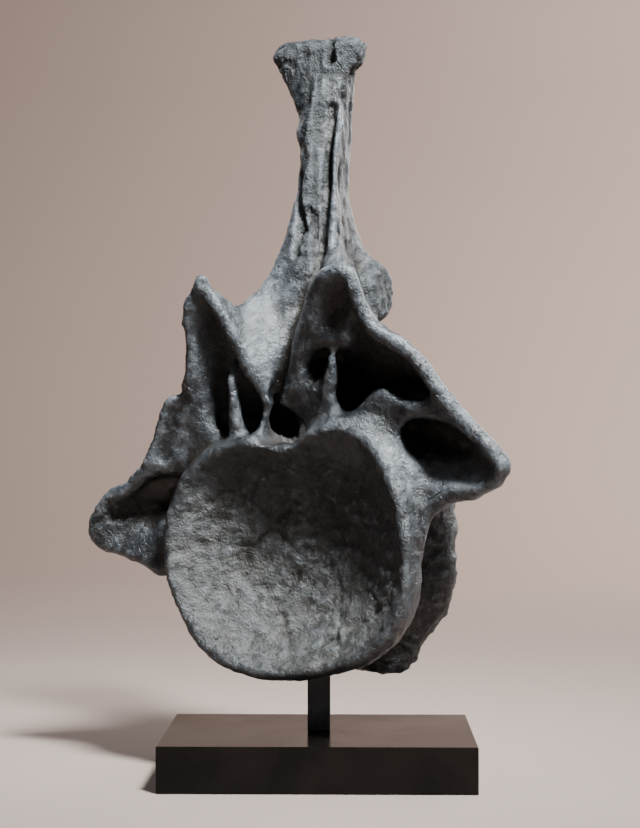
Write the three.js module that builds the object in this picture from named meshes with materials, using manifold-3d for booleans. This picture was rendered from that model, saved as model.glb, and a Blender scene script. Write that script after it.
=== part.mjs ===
// A fossil tail vertebra of a long-necked dinosaur, mounted on a steel post and a low metal block.
//
// It is one of the first bones of the tail: a short drum-shaped centrum with a hollowed front face,
// a neural arch over the canal for the spinal cord, two wing-like side processes, two pairs of
// joint facets (prezygapophyses in front, postzygapophyses behind) and a tall neural spine.
//
// Millimetres, +Z up. The origin is the middle of the block's underside, and -Y is the block's
// front. The bone has a frame of its own, described at BONE_TURN. Left and right are the animal's:
// its left is +X, which is on the right for someone who looks at the bone's front.
import * as THREE from "three";
import { mergeVertices } from "three/addons/utils/BufferGeometryUtils.js";
import Module from "manifold-3d";

// The display stand
const BASE_WIDTH = 340;
const BASE_DEPTH = 240;
const BASE_HEIGHT = 50;
const BASE_BEVEL = 1.2;
const POST_SIDE = 25;
const POST_SOCKET = 40; // how far the post reaches up into the bone's underside
const JOINT_GAP = 0.3;

// The bone's frame: its origin is the middle of the centrum's front rim, -Y is the animal's front
// and +Y its tail, and the bone is turned on its post so that its front looks to the left.
const BONE_TURN = THREE.MathUtils.degToRad(-26);
const BONE_ORIGIN = new THREE.Vector3(-41, -68, 243);

// The centrum: a drum with a waist, a hollow front face and a gently bulging rear face
const CENTRUM_LENGTH = 150;
const RIM_HALF_WIDTH = 150;
const RIM_HALF_HEIGHT = 129;
const RIM_LIP = 5; // the rim's flare, which its rounding takes back
const RIM_SQUARENESS = 2.35;
const REAR_SQUARENESS = { low: 2.25, high: 2.9 };
const RIM_BUMPS = [ // place in degrees round the rim from +X, rise in mm, spread in degrees
  { at: 60, rise: 26, spread: 19 }, // the left shoulder
  { at: 126, rise: 7, spread: 18 }, // the right shoulder
  { at: 87, rise: -14, spread: 9 }, // the dip under the neural canal
  { at: 208, rise: -7, spread: 16 },
  { at: 297, rise: -5, spread: 18 },
];
const COTYLE_DEPTH = 60;
const REAR_BULGE = 22;
const WAIST = { depth: 0.17, at: 0.57, spread: 0.2 }; // shares of the radius and of the length
const RIM_ROUNDING = 16;

// The softness of the joins between one form and the next
const FILLET = 9;

// Fineness of the surface
const CELL = 6;
const SMOOTHING_ROUNDS = 6;
const BONE_TRIANGLES = 11600;
const SLIVER = 0.08; // the nearest that a surface point comes to a grid point, as a share of the cell

// The front and the back of the neural arch and its wings are sloping planes: the depth is
// base + across * (distance from the midline) + up * (height), in the bone's frame.
const FRONT = { base: 76, across: -0.1, up: -0.3, most: 46 };
const BACK = { base: 122, across: -0.2, up: 0 };
const FACET_BACK = { base: 276, across: 0, up: -0.947 }; // behind the front facets
const LEAN = 0.48; // how fast the wings draw in towards the midline on their way back

// Outlines of [across, up] points, as seen in the front plane. Burial has pressed the right wing
// down, so the two halves differ.
const LEFT_HALF = [
  [45, 292], [62, 309], [84, 315], [99, 309], [106, 277], [119, 252], [148, 235], [166, 220],
  [188, 187], [210, 159], [246, 122], [255, 103], [246, 87], [214, 70], [186, 66], [160, 53],
  [140, 30], [60, 60], [8, 120], [14, 140], [-12, 168], [2, 190], [18, 232], [31, 258],
];
const RIGHT_HALF = [
  [-76, 288], [-86, 309], [-98, 293], [-110, 281], [-116, 261], [-116, 235], [-122, 207],
  [-134, 181], [-150, 174], [-163, 151], [-178, 123], [-194, 99], [-219, 80], [-250, 66],
  [-271, 43], [-277, 22], [-267, 4], [-233, -5], [-203, -15], [-180, -26], [-60, 30], [-36, 122],
  [-33, 150], [-22, 171], [-31, 190], [-42, 212], [-50, 233], [-64, 262],
];

// Hollows in the front of the arch: an outline, the plane of its floor, and the softness of its walls
const FACET_BOWL = {
  outline: [[50, 285], [60, 301], [78, 304], [91, 298], [94, 280], [92, 258], [86, 247],
    [64, 243], [46, 250]],
  floor: { base: 88, across: -0.1, up: -0.3 },
  softness: 26,
};
const CANAL_PIT = {
  outline: [[25, 225], [48, 227], [76, 226], [72, 208], [56, 206], [46, 194], [38, 186], [25, 184],
    [19, 203]],
  floor: { base: -134, across: 0, up: 0.8 },
  softness: 16,
};
const LEFT_FOSSA = {
  outline: [[67, 222], [90, 232], [92, 286], [99, 286], [105, 268], [118, 244], [145, 225],
    [160, 210], [180, 182], [166, 173], [138, 175], [118, 187], [102, 179], [82, 164], [65, 160],
    [60, 175], [65, 199]],
  floor: { base: 241, across: -0.386, up: -0.758 },
  softness: 26,
};
const LEFT_POCKET = {
  outline: [[134, 130], [138, 144], [153, 152], [180, 149], [201, 142], [221, 126], [236, 106],
    [233, 96], [214, 85], [186, 82], [160, 90], [142, 110]],
  floor: { base: 14, across: -0.12, up: 0.5 },
  softness: 24,
};
const RIGHT_FOSSA = {
  outline: [[-86, 288], [-76, 272], [-60, 244], [-50, 211], [-36, 184], [-29, 171], [-40, 152],
    [-50, 133], [-76, 131], [-97, 141], [-107, 155], [-106, 180], [-105, 213], [-104, 245],
    [-99, 270]],
  floor: { base: 191, across: -0.205, up: -0.625 },
  softness: 22,
};
const RIGHT_POCKET = {
  outline: [[-229, 68], [-213, 80], [-184, 90], [-152, 92], [-141, 88], [-159, 72], [-171, 52],
    [-186, 22], [-197, 14], [-212, 18], [-234, 28], [-249, 44]],
  floor: { base: 60, across: -0.03, up: 0.12 },
  softness: 24,
};

// The groove in the midline, from over the neural canal up the front of the spine
const MIDLINE_GROOVE = [[-17, 26, 180], [-10, 28, 211], [-2, 28, 250], [9, 33, 290], [15, 55, 318],
  [13, 68, 353], [16, 70, 397], [19, 71, 442], [22, 72, 490]];

// The neural spine, as sections at rising heights:
// [up, middle across, half width, middle along, half depth]
const SPINE = [
  [250, 0, 40, 84, 34], [305, 4, 50, 88, 38], [325, 3, 41, 91, 33], [353, 2, 32, 93, 30],
  [387, 2, 27, 95, 28], [421, 4, 25, 97, 27], [457, 6, 25, 98, 26], [490, 6, 27, 99, 25],
  [512, 1, 33, 100, 24], [540, -4, 42, 102, 23], [554, -4, 49, 103, 23], [568, -4, 53, 103, 24],
  [580, -4, 50, 103, 22],
];

// Smooth joins: k is the width of the fillet
function smoothMin(a, b, k) {
  const h = Math.max(k - Math.abs(a - b), 0) / k;
  return Math.min(a, b) - h * h * k * 0.25;
}

function smoothMax(a, b, k) {
  return -smoothMin(-a, -b, k);
}

// A shape is a distance function with a sphere round it, by which far shapes are passed over
function shape(points, radius, distance) {
  const sphere = new THREE.Sphere().setFromPoints(points);
  sphere.radius += radius;
  return { sphere, distance };
}

// Several shapes as one, without a fillet between them
function together(shapes) {
  const sphere = shapes[0].sphere.clone();
  for (const { sphere: other } of shapes) sphere.union(other);
  const distance = (p) => {
    let d = Infinity;
    for (const one of shapes)
      if (p.distanceTo(one.sphere.center) - one.sphere.radius < d) d = Math.min(d, one.distance(p));
    return d;
  };
  return { sphere, distance };
}

// A strut that tapers from one end to the other
function strut(from, to, fromRadius, toRadius = fromRadius) {
  const line = new THREE.Line3(new THREE.Vector3(...from), new THREE.Vector3(...to));
  const nearest = new THREE.Vector3();
  return shape([line.start, line.end], Math.max(fromRadius, toRadius), (p) => {
    const t = line.closestPointToPointParameter(p, true);
    line.at(t, nearest);
    return p.distanceTo(nearest) - THREE.MathUtils.lerp(fromRadius, toRadius, t);
  });
}

// A bony sheet over one triangle, with its own half thickness at each corner
function plate(a, b, c, aRadius, bRadius, cRadius) {
  const corners = [a, b, c].map((corner) => new THREE.Vector3(...corner));
  const triangle = new THREE.Triangle(...corners);
  const nearest = new THREE.Vector3();
  const share = new THREE.Vector3();
  return shape(corners, Math.max(aRadius, bRadius, cRadius), (p) => {
    triangle.closestPointToPoint(p, nearest);
    triangle.getBarycoord(nearest, share);
    return p.distanceTo(nearest) - share.x * aRadius - share.y * bRadius - share.z * cRadius;
  });
}

// A flat disc that faces sideways, with its half thickness and its radii along and up
function disc(centre, [thickness, along, up], rounding) {
  const middle = new THREE.Vector3(...centre);
  return shape([middle], Math.max(along, up), (p) => {
    const face = Math.abs(p.x - middle.x) - thickness;
    const out = Math.hypot((p.y - middle.y) / along, (p.z - middle.z) / up);
    return smoothMax(face, (out - 1) * Math.min(along, up), rounding);
  });
}

// An ellipsoid with its axes along the bone's
function ball(centre, radii) {
  const middle = new THREE.Vector3(...centre);
  const axes = new THREE.Vector3(...radii);
  const q = new THREE.Vector3();
  return shape([middle], Math.max(...radii), (p) => {
    const k = q.subVectors(p, middle).divide(axes).length();
    return (k * (k - 1)) / Math.max(q.divide(axes).length(), 1e-6);
  });
}

// A sheet between two rows of points, one pair of plates after another
function sheet(rowA, rowB, radiusA, radiusB) {
  const made = [];
  for (let i = 0; i + 1 < rowA.length; i++) {
    made.push(plate(rowA[i], rowA[i + 1], rowB[i], radiusA, radiusA, radiusB));
    if (rowA[i + 1] !== rowB[i + 1])
      made.push(plate(rowA[i + 1], rowB[i + 1], rowB[i], radiusA, radiusB, radiusB));
  }
  return together(made);
}

// A rounded ridge along a row of points
function ridge(row, radius, endRadius = radius) {
  const radiusAt = (i) => THREE.MathUtils.lerp(radius, endRadius, i / (row.length - 1));
  return together(row.slice(1).map((point, i) =>
    strut(row[i], point, radiusAt(i), radiusAt(i + 1))));
}

// The outline of the centrum at one share of its length from front to rear
function rimRadius(angle, along) {
  const high = THREE.MathUtils.smoothstep(Math.sin(angle), -0.5, 0.5);
  const rearPower = THREE.MathUtils.lerp(REAR_SQUARENESS.low, REAR_SQUARENESS.high, high);
  const power = THREE.MathUtils.lerp(RIM_SQUARENESS, rearPower, along);
  const c = Math.abs(Math.cos(angle)) / (RIM_HALF_WIDTH + RIM_LIP * (1 - along));
  const s = Math.abs(Math.sin(angle)) / (RIM_HALF_HEIGHT + RIM_LIP);
  const degrees = (THREE.MathUtils.radToDeg(angle) + 360) % 360;
  return RIM_BUMPS.reduce((radius, { at, rise, spread }) => {
    const away = Math.abs(((degrees - at + 540) % 360) - 180);
    return radius + rise * Math.exp(-0.5 * (away / spread) ** 2);
  }, (c ** power + s ** power) ** (-1 / power));
}

function centrum() {
  const middle = new THREE.Vector3(0, CENTRUM_LENGTH / 2, 0);
  return shape([middle], RIM_HALF_WIDTH * 1.35, (p) => {
    const along = THREE.MathUtils.clamp(p.y / CENTRUM_LENGTH, 0, 1);
    const out = Math.hypot(p.x, p.z);
    const edge = rimRadius(Math.atan2(p.z, p.x), along);
    const waist = 1 - WAIST.depth * Math.exp(-(((along - WAIST.at) / WAIST.spread) ** 2));
    const middleShare = 1 - Math.min(out / (edge - 2 * RIM_LIP), 1) ** 2.6;
    const side = (out - edge * waist) * 0.95;
    const front = COTYLE_DEPTH * middleShare - p.y;
    const rear = p.y - CENTRUM_LENGTH + 4 - REAR_BULGE * middleShare;
    return smoothMax(smoothMax(side, front * 0.8, RIM_ROUNDING), rear, RIM_ROUNDING);
  });
}

function depthAt({ base, across, up, most = Infinity }, p) {
  return Math.min(base + across * Math.abs(p.x) + up * p.z, most);
}

// The signed distance to a smooth closed outline of [across, up] points
function outlineDistance(outline) {
  const corners = outline.map(([x, z]) => new THREE.Vector3(x, z, 0));
  const points = new THREE.CatmullRomCurve3(corners, true).getPoints(3 * corners.length);
  return (x, z) => {
    let nearest = Infinity;
    let inside = false;
    for (let i = 0, j = points.length - 1; i < points.length; j = i++) {
      const [a, b] = [points[j], points[i]];
      const [ex, ez, wx, wz] = [b.x - a.x, b.y - a.y, x - a.x, z - a.y];
      const t = THREE.MathUtils.clamp((wx * ex + wz * ez) / (ex * ex + ez * ez || 1), 0, 1);
      nearest = Math.min(nearest, (wx - ex * t) ** 2 + (wz - ez * t) ** 2);
      if ((a.y > z) !== (b.y > z) && wx < (ex * wz) / ez) inside = !inside;
    }
    return inside ? -Math.sqrt(nearest) : Math.sqrt(nearest);
  };
}

function drawnShape(outline, near, far, distance) {
  const corners = outline.flatMap(([x, z]) =>
    [new THREE.Vector3(x, near, z), new THREE.Vector3(x, far, z)]);
  return shape(corners, 0, distance);
}

// A thick slab between the front plane and its back, drawn in towards the midline
function slab(outline, side) {
  const inPlane = outlineDistance(outline);
  return drawnShape(outline, -40, 110, (p) => {
    const front = depthAt(FRONT, p);
    const across = p.x + side * LEAN * (p.y - front);
    const behind = Math.max(p.y - depthAt(BACK, p), (p.y - depthAt(FACET_BACK, p)) * 0.75);
    return smoothMax(inPlane(across, p.z) * 0.9, Math.max(front - p.y, behind), 14);
  });
}

// A hollow in a slab, open at the front
function hollow({ outline, floor, softness }, side) {
  const inPlane = outlineDistance(outline);
  return drawnShape(outline, -60, 110, (p) => {
    const across = p.x + side * LEAN * (p.y - depthAt(FRONT, p));
    const bottom = Math.min(depthAt(floor, p), depthAt(BACK, p) - 10);
    return smoothMax(inPlane(across, p.z) * 0.9, (p.y - bottom) * 0.8, softness);
  });
}

// A body lofted through sections, each a rounded rectangle
function loft(sections, squareness) {
  const curve = (column) => {
    const row = sections.map((section) => new THREE.Vector2(section[0], section[column]));
    return (up) => {
      let i = 0;
      while (i < row.length - 2 && up > row[i + 1].x) i++;
      const t = THREE.MathUtils.smoothstep(up, row[i].x, row[i + 1].x);
      const straight = THREE.MathUtils.clamp((up - row[i].x) / (row[i + 1].x - row[i].x), 0, 1);
      return THREE.MathUtils.lerp(row[i].y, row[i + 1].y, 0.4 * t + 0.6 * straight);
    };
  };
  const [x, width, y, depth] = [1, 2, 3, 4].map(curve);
  const [low, high] = [sections[0][0], sections.at(-1)[0]];
  const corners = sections.flatMap(([up, cx, w, cy, d]) =>
    [new THREE.Vector3(cx - w, cy - d, up), new THREE.Vector3(cx + w, cy + d, up)]);
  return shape(corners, 0, (p) => {
    const [dx, dy] = [p.x - x(p.z), p.y - y(p.z)];
    const norm = (Math.abs(dx / width(p.z)) ** squareness
      + Math.abs(dy / depth(p.z)) ** squareness) ** (1 / squareness);
    const around = (Math.hypot(dx, dy) * (norm - 1)) / Math.max(norm, 0.05);
    return smoothMax(around * 0.9, Math.max(low - p.z, p.z - high), 14);
  });
}

// The sheet from a front facet's inner edge back and up to the spine
function webs() {
  return [
    sheet([[-74, -14, 284], [-64, -8, 263], [-50, 3, 233], [-42, 10, 212], [-31, 18, 190],
      [-20, 24, 173]],
    [[-72, 0, 274], [-66, 20, 264], [-36, 42, 254], [-14, 42, 236], [-8, 36, 210], [-6, 30, 188]],
    6, 9),
    sheet([[-66, 20, 264], [-46, 54, 299], [-33, 62, 324], [-23, 67, 352], [-14, 74, 392]],
      [[-14, 42, 236], [-14, 54, 275], [-12, 62, 310], [-8, 70, 350], [-4, 76, 392]], 7, 9),
    sheet([[62, -16, 300], [46, -10, 288], [33, 0, 256], [19, 10, 231], [5, 20, 190], [-10, 25, 170]],
      [[30, 34, 300], [20, 42, 285], [8, 42, 258], [0, 38, 236], [-3, 34, 208], [-5, 30, 188]], 6, 9),
    sheet([[76, 8, 300], [54, 52, 306], [40, 64, 324], [28, 72, 353], [22, 80, 392]],
      [[24, 40, 290], [16, 54, 298], [12, 62, 315], [8, 70, 350], [8, 76, 392]], 7, 9),
  ];
}

// The facets behind, the ridges that carry them, and the rough ridge up the back of the spine
function rearFacets() {
  return [
    ...[-1, 1].flatMap((side) => [
      disc([side * 57, 126, 296], [8, 31, 32], 7),
      sheet([[side * 50, 120, 318], [side * 52, 124, 296], [side * 42, 118, 262]],
        [[side * 16, 104, 360], [side * 8, 104, 300], [side * 8, 100, 230]], 9, 16),
      ridge([[side * 48, 122, 316], [side * 31, 120, 348], [side * 16, 112, 396]], 10, 7),
      plate([side * 44, 104, 280], [side * 30, 92, 216], [side * 84, 92, 196], 14, 14, 12),
    ]),
    ridge([[0, 118, 330], [2, 122, 420], [3, 122, 520]], 9, 8),
    ridge([[0, 116, 268], [0, 122, 214]], 15, 12),
    plate([-40, 96, 210], [40, 96, 210], [0, 104, 280], 12, 12, 16),
  ];
}

// The pits on both sides of the rear ridge, between the ridges of the facets
function rearHollows() {
  return [-1, 1].flatMap((side) => [
    strut([side * 20, 138, 318], [side * 13, 134, 384], 12, 5),
    ball([side * 34, 128, 236], [20, 20, 24]),
  ]);
}

function struts() {
  return [
    ridge([[-66, 32, 122], [-68, 24, 152], [-67, 12, 196], [-64, 32, 236]], 11, 3),
    ridge([[-41, 34, 122], [-31, 28, 152], [-21, 24, 173]], 7, 6),
    ridge([[37, 30, 138], [48, 20, 178], [61, 6, 220]], 7, 5),
    ridge([[50, 32, 138], [56, 26, 168]], 5, 3),
  ];
}

// A rounded rim along part of an outline, just inside it
function rim(outline, first, last, radius, endRadius = radius) {
  const turning = outline.reduce((sum, [x, z], i) => {
    const [nextX, nextZ] = outline[(i + 1) % outline.length];
    return sum + x * nextZ - nextX * z;
  }, 0);
  const row = [];
  for (let i = first; i <= last; i++) {
    const [x, z] = outline.at(i % outline.length);
    const [ax, az] = outline.at((i - 1) % outline.length);
    const [bx, bz] = outline.at((i + 1) % outline.length);
    const length = Math.hypot(bx - ax, bz - az) * Math.sign(turning);
    const inset = THREE.MathUtils.lerp(radius, endRadius, (i - first) / (last - first));
    const p = new THREE.Vector3(x - ((bz - az) / length) * inset, 0, z + ((bx - ax) / length) * inset);
    p.y = depthAt(FRONT, p) + 0.7 * inset;
    row.push(p.toArray());
  }
  return ridge(row, radius, endRadius);
}

function rims() {
  return [
    rim(LEFT_HALF, 1, 17, 7, 9),
    rim(LEFT_HALF, -3, 1, 8, 9),
    rim(RIGHT_HALF, 1, 19, 5, 9),
    rim(RIGHT_HALF, -5, 1, 6, 5),
  ];
}

function canal() {
  const inPlane = outlineDistance([[-31, 128], [-6, 124], [15, 131], [14, 138], [-14, 167], [-22, 168]]);
  return drawnShape([[-40, 120], [20, 170]], -60, 200, (p) =>
    inPlane(p.x * (1 + 0.003 * Math.max(p.y - 20, 0)), p.z));
}

// The spine's rough front ridge, its flared top and the marks in it
function spineRelief() {
  return [
    ridge([[-2, 78, 330], [-2, 76, 364], [-1, 74, 398], [0, 74, 443], [0, 76, 487], [5, 80, 520]], 9, 8),
    ridge([[22, 74, 328], [24, 72, 353], [26, 72, 397], [28, 74, 442], [31, 78, 480]], 6, 5),
    ball([-12, 84, 473], [11, 12, 13]),
    ball([-36, 102, 564], [22, 24, 16]),
    ball([30, 103, 567], [22, 24, 16]),
  ];
}

// The bone in the order of its making: what is joined on, and what is taken away
function boneSteps() {
  return [
    { join: [centrum()] },
    { join: [slab(LEFT_HALF, 1)], fillet: 34 },
    { join: [slab(RIGHT_HALF, -1), loft(SPINE, 3.2)], fillet: 14 },
    { join: [...webs(), ...rearFacets(), ...spineRelief()] },
    { cut: [hollow(FACET_BOWL, 1), hollow(CANAL_PIT, 1), hollow(LEFT_FOSSA, 1)] },
    { cut: [hollow(LEFT_POCKET, 1), hollow(RIGHT_FOSSA, -1), hollow(RIGHT_POCKET, -1)] },
    { join: [...rims(), ...struts()] },
    { cut: [canal(), ridge(MIDLINE_GROOVE, 8, 5), strut([8, 70, 590], [9, 78, 558], 5), ...rearHollows()] },
    { cut: [ball([158, 77, 2], [68, 33, 64]), ball([-152, 80, -58], [52, 30, 42])] },
    { join: [ball([64, 132, -110], [34, 20, 23]), ball([-64, 132, -110], [34, 20, 23])], fillet: 24 },
  ];
}

function boneDistance() {
  const steps = boneSteps();
  return (p) => {
    const awayFrom = ({ sphere }) => p.distanceTo(sphere.center) - sphere.radius;
    let d = 4 * CELL;
    for (const { join = [], cut = [], fillet = FILLET } of steps) {
      for (const one of join)
        if (awayFrom(one) < d + fillet) d = smoothMin(d, one.distance(p), fillet);
      for (const one of cut)
        if (awayFrom(one) < fillet - d) d = smoothMax(d, -one.distance(p), fillet);
    }
    return d;
  };
}

// The surface where the distance is nought, as triangles. Each cube of the grid is cut into six
// tetrahedra, so that the triangles always meet along whole edges.
function surfaceOf(distance, box, cell) {
  const [nx, ny, nz] = box.getSize(new THREE.Vector3()).divideScalar(cell).ceil().addScalar(1);
  const field = new Float32Array(nx * ny * nz);
  const at = (n, target) => target
    .set(n % nx, Math.floor(n / nx) % ny, Math.floor(n / (nx * ny)))
    .multiplyScalar(cell).add(box.min);
  const [pa, pb, pc] = [0, 0, 0].map(() => new THREE.Vector3());
  for (let n = 0; n < field.length; n++) field[n] = distance(at(n, pa));

  const points = [];
  const faces = [];
  const cuts = new Map();
  const cut = (a, b) => {
    const key = Math.min(a, b) * field.length + Math.max(a, b);
    if (!cuts.has(key)) {
      const t = THREE.MathUtils.clamp(field[a] / (field[a] - field[b]), SLIVER, 1 - SLIVER);
      cuts.set(key, points.length);
      points.push(at(a, pa).lerp(at(b, pb), t).clone());
    }
    return cuts.get(key);
  };
  const addFace = (a, b, c, inside, outside) => {
    const normal = pa.subVectors(points[b], points[a]).cross(pb.subVectors(points[c], points[a]));
    const outward = at(outside, pb).sub(at(inside, pc));
    faces.push(normal.dot(outward) > 0 ? [a, b, c] : [a, c, b]);
  };
  const steps = [1, nx, nx * ny];
  const orders = [[0, 1, 2], [0, 2, 1], [1, 0, 2], [1, 2, 0], [2, 0, 1], [2, 1, 0]];
  for (let n = 0; n < field.length; n++) {
    const corner = at(n, pa).sub(box.min).divideScalar(cell).round();
    if (corner.x + 1 >= nx || corner.y + 1 >= ny || corner.z + 1 >= nz) continue;
    for (const order of orders) {
      const tetra = [n];
      for (const axis of order) tetra.push(tetra.at(-1) + steps[axis]);
      const inner = tetra.filter((m) => field[m] < 0);
      const outer = tetra.filter((m) => field[m] >= 0);
      if (!inner.length || !outer.length) continue;
      if (inner.length === 2) {
        const around = [cut(inner[0], outer[0]), cut(inner[0], outer[1]),
          cut(inner[1], outer[1]), cut(inner[1], outer[0])];
        addFace(around[0], around[1], around[2], inner[0], outer[0]);
        addFace(around[0], around[2], around[3], inner[0], outer[0]);
      } else {
        const [one, three] = inner.length === 1 ? [inner[0], outer] : [outer[0], inner];
        addFace(...three.map((m) => cut(one, m)), inner[0], outer[0]);
      }
    }
  }
  return { points, faces };
}

// Keeps the body with the most faces; small loose bodies and sealed hollows go
function largestBody({ points, faces }) {
  const parent = points.map((_, i) => i);
  const find = (i) => {
    while (parent[i] !== i) i = parent[i] = parent[parent[i]];
    return i;
  };
  for (const [a, b, c] of faces) {
    parent[find(a)] = find(b);
    parent[find(b)] = find(c);
  }
  const counts = new Map();
  for (const [a] of faces) counts.set(find(a), (counts.get(find(a)) ?? 0) + 1);
  const [largest] = [...counts].sort((m, n) => n[1] - m[1])[0];
  return { points, faces: faces.filter(([a]) => find(a) === largest) };
}

// Evens out the steps of the grid: each round draws every point in to its neighbours' middle and
// then pushes it nearly as far out again, so that the body doesn't shrink
function evened({ points, faces }, rounds) {
  let now = points;
  for (let round = 0; round < 2 * rounds; round++) {
    const sums = now.map(() => new THREE.Vector3());
    const counts = new Uint16Array(now.length);
    for (const face of faces)
      for (let i = 0; i < 3; i++) {
        sums[face[i]].add(now[face[(i + 1) % 3]]).add(now[face[(i + 2) % 3]]);
        counts[face[i]] += 2;
      }
    const share = round % 2 ? -0.53 : 0.5;
    now = now.map((p, i) => (counts[i] ? p.clone().lerp(sums[i].divideScalar(counts[i]), share) : p));
  }
  return { points: now, faces };
}

// The squared distance to a plane, weighted by area, as the ten terms of a symmetric form
function addPlane(form, normal, offset, weight) {
  const v = [normal.x, normal.y, normal.z, offset];
  let term = 0;
  for (let i = 0; i < 4; i++)
    for (let j = i; j < 4; j++) form[term++] += weight * v[i] * v[j];
}

function formAt(f, { x, y, z }) {
  return f[0] * x * x + f[4] * y * y + f[7] * z * z + f[9]
    + 2 * (f[1] * x * y + f[2] * x * z + f[5] * y * z + f[3] * x + f[6] * y + f[8] * z);
}

// A queue that gives its cheapest item first
class Queue {
  items = [];

  push(item) {
    const { items } = this;
    let i = items.length;
    items.push(item);
    while (i > 0) {
      const up = (i - 1) >> 1;
      if (items[up].cost <= item.cost) break;
      items[i] = items[up];
      i = up;
    }
    items[i] = item;
  }

  pop() {
    const { items } = this;
    const first = items[0];
    const last = items.pop();
    if (!items.length) return first;
    let i = 0;
    for (;;) {
      let down = 2 * i + 1;
      if (down >= items.length) break;
      if (down + 1 < items.length && items[down + 1].cost < items[down].cost) down++;
      if (items[down].cost >= last.cost) break;
      items[i] = items[down];
      i = down;
    }
    items[i] = last;
    return first;
  }
}

// Merges the two ends of whichever edge changes the surface least, until few enough faces remain
class Thinner {
  constructor({ points, faces }) {
    this.points = points.map((p) => p.clone());
    this.faces = faces.map((face) => [...face]);
    this.forms = points.map(() => new Float64Array(10));
    this.around = points.map(() => new Set());
    this.version = new Uint32Array(points.length);
    this.queue = new Queue();
    this.count = faces.length;
    this.faces.forEach((face, index) => {
      const normal = this.normalOf(face.map((i) => this.points[i]));
      const area = normal.length() / 2;
      normal.normalize();
      const offset = -normal.dot(this.points[face[0]]);
      for (const i of face) {
        addPlane(this.forms[i], normal, offset, area);
        this.around[i].add(index);
      }
    });
    for (const [a, b, c] of this.faces)
      for (const [i, j] of [[a, b], [b, c], [c, a]]) if (i < j) this.offer(i, j);
  }

  normalOf([a, b, c]) {
    const side = new THREE.Vector3().subVectors(c, a);
    return new THREE.Vector3().subVectors(b, a).cross(side);
  }

  neighbours(i) {
    const found = new Set();
    for (const index of this.around[i]) for (const j of this.faces[index]) found.add(j);
    found.delete(i);
    return found;
  }

  // The place that two merged points take, and what the merge costs
  offer(i, j) {
    const form = this.forms[i].map((v, n) => v + this.forms[j][n]);
    const [pi, pj] = [this.points[i], this.points[j]];
    const middle = pi.clone().lerp(pj, 0.5);
    const length = pi.distanceTo(pj);
    const places = [pi, pj, middle];
    const m = new THREE.Matrix3().set(form[0], form[1], form[2], form[1], form[4], form[5],
      form[2], form[5], form[7]);
    if (Math.abs(m.determinant()) > 1e-3 * (form[0] + form[4] + form[7]) ** 3 / 27) {
      const best = new THREE.Vector3(-form[3], -form[6], -form[8]).applyMatrix3(m.invert());
      if (best.distanceTo(middle) < 1.5 * length) places.push(best);
    }
    const costs = places.map((place) => formAt(form, place) + 0.002 * length * length * length * length);
    const cost = Math.min(...costs);
    const place = places[costs.indexOf(cost)];
    this.queue.push({ cost, i, j, place, stamp: this.version[i] + this.version[j] });
  }

  // True if no face near a merged edge turns over or becomes a needle
  keepsShape(i, j, place) {
    for (const [one, other] of [[i, j], [j, i]])
      for (const index of this.around[one]) {
        const face = this.faces[index];
        if (face.includes(other)) continue;
        const now = face.map((k) => this.points[k]);
        const then = face.map((k) => (k === one ? place : this.points[k]));
        const [before, after] = [this.normalOf(now), this.normalOf(then)];
        const longest = Math.max(then[0].distanceToSquared(then[1]),
          then[1].distanceToSquared(then[2]), then[2].distanceToSquared(then[0]));
        if (after.length() < 0.06 * longest) return false;
        if (before.dot(after) < 0.35 * before.length() * after.length()) return false;
      }
    return true;
  }

  merge(i, j, place) {
    const shared = [...this.neighbours(i)].filter((k) => this.neighbours(j).has(k));
    if (shared.length !== 2 || !this.keepsShape(i, j, place)) return;
    this.points[i] = place.clone();
    this.forms[i] = this.forms[i].map((v, n) => v + this.forms[j][n]);
    for (const index of this.around[j]) {
      const face = this.faces[index];
      if (face.includes(i)) {
        for (const k of face) if (k !== j) this.around[k].delete(index);
        this.faces[index] = null;
        this.count--;
      } else {
        face[face.indexOf(j)] = i;
        this.around[i].add(index);
      }
    }
    this.around[j] = new Set();
    this.version[j] += 1e6;
    this.version[i]++;
    for (const k of this.neighbours(i)) this.offer(i, k);
  }

  thin(target) {
    while (this.count > target && this.queue.items.length) {
      const { i, j, place, stamp } = this.queue.pop();
      if (stamp !== this.version[i] + this.version[j]) continue;
      this.merge(i, j, place);
    }
    return { points: this.points, faces: this.faces.filter(Boolean) };
  }
}

// Triangles as geometry, with the points in use only
function geometryOf({ points, faces }) {
  const used = [...new Set(faces.flat())];
  const place = new Map(used.map((i, n) => [i, n]));
  const geometry = new THREE.BufferGeometry().setFromPoints(used.map((i) => points[i]));
  geometry.setIndex(faces.flatMap((face) => face.map((i) => place.get(i))));
  return geometry;
}

const manifold = await Module();
manifold.setup();

function solidOf(geometry) {
  const bare = new THREE.BufferGeometry();
  bare.setAttribute("position", geometry.getAttribute("position"));
  bare.setIndex(geometry.getIndex());
  const merged = mergeVertices(bare, 1e-4);
  return new manifold.Manifold(new manifold.Mesh({
    numProp: 3,
    vertProperties: merged.getAttribute("position").array,
    triVerts: new Uint32Array(merged.getIndex().array),
  }));
}

function geometryOfSolid(solid) {
  const mesh = solid.getMesh();
  const geometry = new THREE.BufferGeometry();
  geometry.setAttribute("position", new THREE.BufferAttribute(mesh.vertProperties, 3));
  geometry.setIndex(new THREE.BufferAttribute(mesh.triVerts, 1));
  return geometry;
}

function boneGeometry() {
  const box = new THREE.Box3(new THREE.Vector3(-300, -60, -160), new THREE.Vector3(280, 190, 606));
  const skin = evened(largestBody(surfaceOf(boneDistance(), box, CELL)), SMOOTHING_ROUNDS);
  const thinned = new Thinner(skin).thin(BONE_TRIANGLES);
  return geometryOf(thinned)
    .rotateZ(BONE_TURN)
    .translate(...BONE_ORIGIN);
}

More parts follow.
